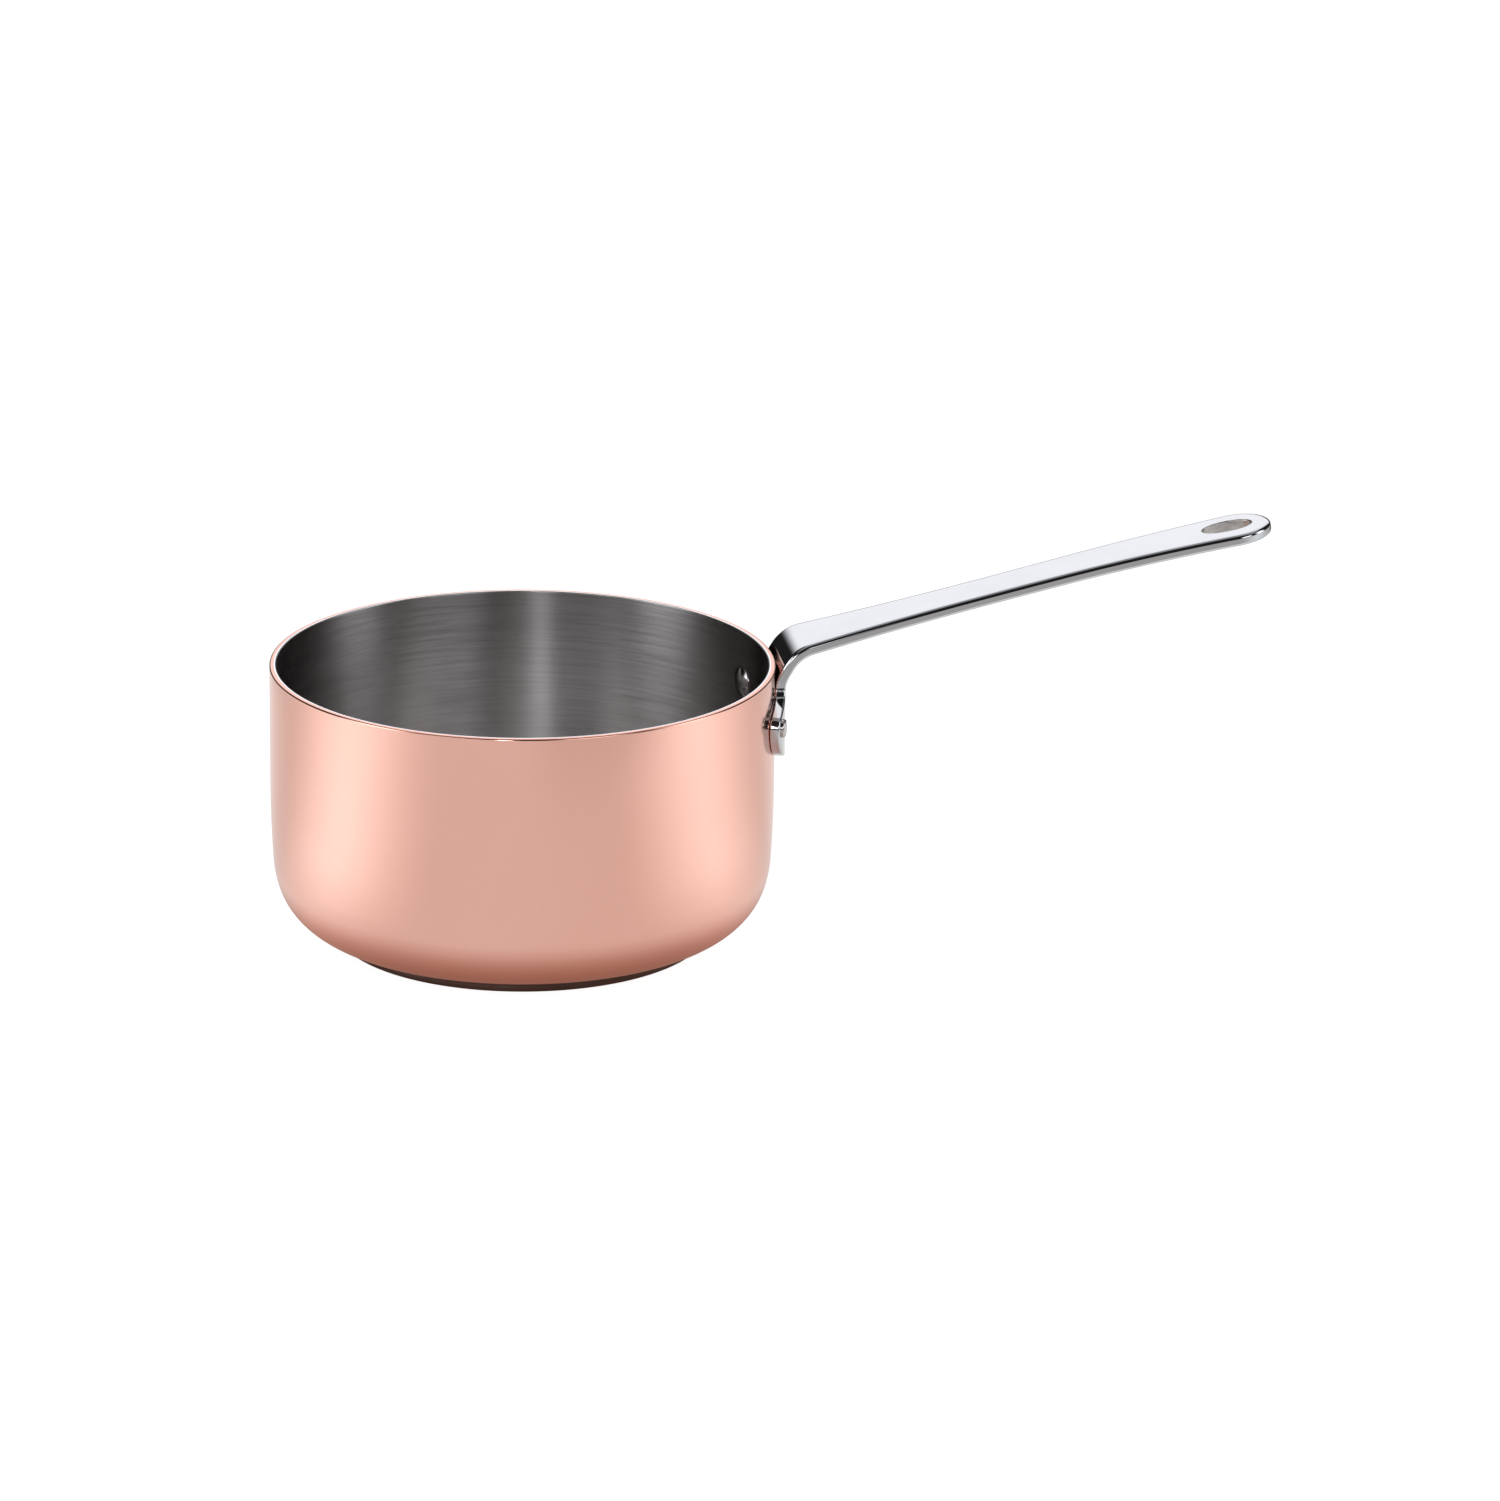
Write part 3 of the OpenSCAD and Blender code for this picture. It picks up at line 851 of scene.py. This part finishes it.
def polished_finish():
    """Mirror-polished stainless steel with faint polishing marks and a trace of smudging."""
    finish = Finish("polished_steel")
    point = finish.point()
    marks = finish.noise(finish.scaled(point, (40, 900, 900)))
    smudge = finish.noise(point, 45.0, detail=3.0, roughness=0.6)
    colour = finish.mixed(smudge, 0.4, 0.8, POLISHED_STEEL)
    rough = finish.ease(smudge, 0.35, 0.75, start=0.04, end=0.08)
    rough = finish.plus(rough, finish.times(marks, 0.02))
    normal = finish.bump(marks, strength=0.03, depth=0.00005)
    finish.set(base_color=colour, metallic=1.0, roughness=rough, normal=normal)
    return finish.material


def hole_finish():
    """The wall of a punched hole, satin and a little brown."""
    finish = Finish("hole_wall")
    stretched = finish.scaled(finish.point(), (300, 300, 1200))
    marks = finish.noise(stretched, detail=3.0, roughness=0.6)
    colour = finish.mixed(marks, 0.3, 0.7, HOLE_STEEL)
    rough = finish.ease(marks, 0.2, 0.8, start=0.30, end=0.42)
    normal = finish.bump(marks, strength=0.3, depth=0.0001)
    finish.set(base_color=colour, metallic=1.0, roughness=rough, normal=normal)
    return finish.material


def rivet_finish():
    """Solid steel rivet: fine tool marks over shallow dents."""
    finish = Finish("rivet_steel")
    point = finish.point()
    marks = finish.noise(point, 700.0, detail=3.0, roughness=0.6)
    dents = finish.noise(point, 220.0)
    colour = finish.mixed(marks, 0.3, 0.7, RIVET_STEEL)
    rough = finish.ease(marks, 0.2, 0.8, start=0.09, end=0.16)
    fine = finish.bump(marks, strength=0.12, depth=0.0001)
    normal = finish.bump(dents, strength=0.25, depth=0.0003, under=fine)
    finish.set(base_color=colour, metallic=1.0, roughness=rough, normal=normal)
    return finish.material


def disc_finish():
    """Plain rolled aluminium of the closed-in disc."""
    finish = Finish("rolled_aluminium")
    grain = finish.noise(finish.scaled(finish.point(), (60, 900, 60)), detail=3.0, roughness=0.6)
    colour = finish.mixed(grain, 0.3, 0.7, ROLLED_ALUMINIUM)
    rough = finish.ease(grain, 0.2, 0.8, start=0.35, end=0.5)
    normal = finish.bump(grain, strength=0.2, depth=0.0001)
    finish.set(base_color=colour, metallic=1.0, roughness=rough, normal=normal)
    return finish.material


# ---------------------------------------------------------------- stage, light and camera

CAMERA_AZIMUTH, CAMERA_ELEVATION, CAMERA_ROLL = (math.radians(a) for a in (-8.6, 17.94, 0.63))
CAMERA_DISTANCE = 2812.5
CAMERA_AIM_OUT, CAMERA_AIM_Z = 81.28, 68.87
LENS, SENSOR = 188.96, 36.0

# Studio lights in degrees: azimuth from the camera's side, positive to its right, and elevation.
# A box is (from, to, softness) sideways, the same upwards, and its strength.
SOFT_BOXES = {
    "left": ((-84, -56, 9), (2, 45, 6), 3.4),
    "right": ((74, 100, 9), (2, 45, 6), 2.9),
    "narrow, beside the camera": ((-9.5, -4.5, 2), (13, 30, 6), 16.5),
    "low, left of the camera": ((-46, -16, 6), (13, 26, 6), 2.8),
    "low, right of the camera": ((21, 50, 7), (13, 36, 8), 3.2),
}
BACKDROP_FROM, BACKDROP_HEIGHT, BACKDROP_STRENGTH = (146, 163), (13, 57, 4), 1.52
CEILING_FROM, CEILING_HEIGHT, CEILING_STRENGTH = (50, 80), (54, 62), 0.45
DARK_STUDIO = 0.02
STUDIO_COLOUR = (0.945, 0.96, 1, 1)
WHITE = (1, 1, 1, 1)

# Floor that the camera sees: its own light, and how much it takes from the studio's
FLOOR_GLOW, FLOOR_GREY = 0.93, (0.25, 0.25, 0.25, 1)
FLOOR_R, TABLE_R, TABLE_LEVEL = 20.0, 4.0, -0.0002
STAGE_STEPS = 96

# Table top that only reflections see: its light, what three directions add to that (in degrees,
# as above), and the shares that the pan's shade takes away near it and beside the handle
TABLE_LIGHT = 0.74
TABLE_LEFT, LEFT_ADDS = (-94, -54, 24), 0.62
TABLE_RIGHT, RIGHT_ADDS = (60, 100, 24), 0.5
TABLE_BEHIND, BEHIND_ADDS = (115, 150), 0.12
BESIDE_HANDLE, HANDLE_SHADE = (10, 60, 10), 0.2
SIDE_SHADE, CONTACT_SHADE = 0.7, 0.58

# Colours of the table's light: close to the copper, and elsewhere where little or much is added
CONTACT_COLOUR = (1.0, 0.56, 0.43)
TABLE_COLOURS = (1.0, 0.97, 0.96), (0.94, 1.0, 1.03)

# Distances from the pot's axis, in metres, between which those shades come and go
CONTACT_FADE = CAP_R * MM, 1.32 * RIM_R * MM
SIDE_FADE = 1.2 * RIM_R * MM, 2.2 * RIM_R * MM
HANDLE_FADE = 0.36, 0.44
TABLE_END = 0.34, 0.42


def add_camera():
    """The photograph's view: a long lens, a little above the rim."""
    azimuth, elevation = CAMERA_AZIMUTH, CAMERA_ELEVATION
    right = Vector((math.cos(azimuth), math.sin(azimuth), 0))
    aim = right * CAMERA_AIM_OUT + Vector((0, 0, CAMERA_AIM_Z))
    back = Vector((
        math.sin(azimuth) * math.cos(elevation),
        -math.cos(azimuth) * math.cos(elevation),
        math.sin(elevation),
    ))
    up = back.cross(right)
    turned_right = right * math.cos(CAMERA_ROLL) + up * math.sin(CAMERA_ROLL)
    turned_up = up * math.cos(CAMERA_ROLL) - right * math.sin(CAMERA_ROLL)
    data = bpy.data.cameras.new("camera")
    data.lens, data.sensor_width, data.sensor_fit = LENS, SENSOR, "HORIZONTAL"
    data.clip_start, data.clip_end = 0.1, 100
    camera = bpy.data.objects.new("camera", data)
    bpy.context.scene.collection.objects.link(camera)
    rotation = Matrix((turned_right, turned_up, back)).transposed().to_4x4()
    camera.matrix_world = Matrix.Translation((aim + back * CAMERA_DISTANCE) * MM) @ rotation
    bpy.context.scene.camera = camera


def front_azimuth(graph, vector):
    """A direction's azimuth in degrees from the camera's side, positive to its right, and its Z."""
    inputs = {"Vector": vector, "Axis": (0, 0, 1), "Angle": -CAMERA_AZIMUTH}
    turned = graph.add("ShaderNodeVectorRotate", inputs, rotation_type="AXIS_ANGLE").outputs[0]
    x, y, z = graph.split(turned)[:3]
    angle = graph.maths("ARCTAN2", x, graph.times(y, -1.0))
    return graph.times(angle, math.degrees(1)), z


def add_studio():
    """Soft boxes in an otherwise dark studio; the camera itself sees plain white."""
    world = bpy.data.worlds.new("studio")
    bpy.context.scene.world = world
    world.use_nodes = True
    graph = Graph(world.node_tree)
    graph.tree.nodes.clear()
    direction = graph.add("ShaderNodeTexCoord").outputs["Generated"]
    azimuth, z = front_azimuth(graph, direction)
    elevation = graph.times(graph.maths("ARCSINE", z), math.degrees(1))
    behind = graph.maths("ABSOLUTE", azimuth)

    # The backdrop ends above the table, which leaves a dark gap; the ceiling is dark in front
    backdrop = graph.ease(behind, *BACKDROP_FROM), graph.window(elevation, *BACKDROP_HEIGHT)
    ceiling = graph.ease(behind, *CEILING_FROM), graph.ease(elevation, *CEILING_HEIGHT)
    lights = [(*backdrop, BACKDROP_STRENGTH), (*ceiling, CEILING_STRENGTH)]
    for across, upright, strength in SOFT_BOXES.values():
        box = graph.window(azimuth, *across), graph.window(elevation, *upright)
        lights.append((*box, strength))
    total = DARK_STUDIO
    for sideways, upwards, strength in lights:
        total = graph.plus(total, graph.times(graph.times(sideways, upwards), strength))

    studio = graph.add("ShaderNodeBackground", {"Color": STUDIO_COLOUR, "Strength": total})
    white = graph.add("ShaderNodeBackground", {"Color": WHITE, "Strength": 1.0})
    seen = graph.add("ShaderNodeLightPath").outputs["Is Camera Ray"]
    mixed = graph.add("ShaderNodeMixShader", {0: seen, 1: studio, 2: white})
    output = graph.add("ShaderNodeOutputWorld")
    graph.put(output.inputs["Surface"], mixed)


def stage_disc(name, radius, level, material):
    """A flat round sheet of the stage, facing up."""
    angles = [2 * math.pi * i / STAGE_STEPS for i in range(STAGE_STEPS)]
    points = [(radius * math.cos(angle), radius * math.sin(angle), level) for angle in angles]
    mesh = bpy.data.meshes.new(name)
    mesh.from_pydata(points, [], [list(range(STAGE_STEPS))])
    mesh.materials.append(material)
    disc = bpy.data.objects.new(name, mesh)
    bpy.context.scene.collection.objects.link(disc)
    return disc


def stage_material(name, build):
    """A material whose shader build(graph) makes, seen from above only."""
    material = bpy.data.materials.new(name)
    material.use_nodes = True
    graph = Graph(material.node_tree)
    graph.tree.nodes.clear()
    above = build(graph)
    below = graph.add("ShaderNodeNewGeometry").outputs["Backfacing"]
    clear = graph.add("ShaderNodeBsdfTransparent")
    shader = graph.add("ShaderNodeMixShader", {0: below, 1: above, 2: clear})
    output = graph.add("ShaderNodeOutputMaterial")
    graph.put(output.inputs["Surface"], shader)
    return material


def pale_floor(graph):
    """Nearly white, whatever the studio's lights do."""
    glow = graph.add("ShaderNodeEmission", {"Color": WHITE, "Strength": FLOOR_GLOW})
    matt = graph.add("ShaderNodeBsdfDiffuse", {"Color": FLOOR_GREY})
    return graph.add("ShaderNodeAddShader", {0: glow, 1: matt})


def lit_table(graph):
    """The table top as lit by the studio and shaded by the pan, by direction and distance."""
    point = graph.point()
    azimuth, _ = front_azimuth(graph, point)
    away = graph.from_axis(point)
    left = graph.times(graph.window(azimuth, *TABLE_LEFT), LEFT_ADDS)
    right = graph.times(graph.window(azimuth, *TABLE_RIGHT), RIGHT_ADDS)
    side_shade = graph.ease(away, *SIDE_FADE, SIDE_SHADE, 0.0)
    sides = graph.times(graph.plus(left, right), graph.maths("SUBTRACT", 1.0, side_shade))
    behind = graph.ease(graph.maths("ABSOLUTE", azimuth), *TABLE_BEHIND)
    added = graph.plus(sides, graph.times(behind, BEHIND_ADDS))

    # The table ends behind the pan, and is darker beside the handle and close to the base
    end = graph.times(behind, graph.ease(away, *TABLE_END))
    handle_fade = graph.ease(away, *HANDLE_FADE, 0.0, HANDLE_SHADE)
    beside_handle = graph.times(graph.window(azimuth, *BESIDE_HANDLE), handle_fade)
    contact = graph.ease(away, *CONTACT_FADE)
    contact_shade = graph.maths("SUBTRACT", CONTACT_SHADE, graph.times(contact, CONTACT_SHADE))
    strength = graph.plus(added, TABLE_LIGHT)
    for share in (end, beside_handle, contact_shade):
        strength = graph.times(strength, graph.maths("SUBTRACT", 1.0, share))
    tint = graph.blend_colours(graph.ease(added, 0.0, 0.6), *TABLE_COLOURS)
    tint = graph.blend_colours(contact, CONTACT_COLOUR, tint)
    return graph.add("ShaderNodeEmission", {"Color": tint, "Strength": strength})


def add_floor():
    """A pale floor for the camera, and the lit table top that the metal reflects."""
    floor = stage_disc("floor", FLOOR_R, 0.0, stage_material("pale_floor", pale_floor))
    floor.visible_glossy = floor.visible_diffuse = False
    floor.visible_transmission = floor.visible_shadow = False
    card = stage_disc("table_card", TABLE_R, TABLE_LEVEL, stage_material("table_light", lit_table))
    card.visible_camera = card.visible_shadow = False


# ---------------------------------------------------------------- assembly

copper = ply("copper_shell_turned", RIM_R, CORE_R, COPPER_EDGE_R, 0, copper_finish())
stand_for(copper, "copper_shell")
core = ply("aluminium_core_turned", CORE_R, LINER_R, 0, 0, core_finish())
stand_for(core, "aluminium_core")
liner = ply("steel_liner_turned", LINER_R, LINER_R - LINER_T, 0, LINER_EDGE_R, liner_finish())
stand_for(liner, "steel_liner")
stand_for(base_cap(base_finish()), "base_cap")
stand_for(handle(polished_finish(), hole_finish()), "handle")
rivet_material = rivet_finish()
stand_for(rivet("rivet_left_pressed", 1, rivet_material), "rivet_left")
stand_for(rivet("rivet_right_pressed", -1, rivet_material), "rivet_right")
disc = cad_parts["base_core"]
disc.data.materials.clear()
disc.data.materials.append(disc_finish())

add_floor()
add_studio()
add_camera()
bpy.context.scene.view_settings.view_transform = "Standard"
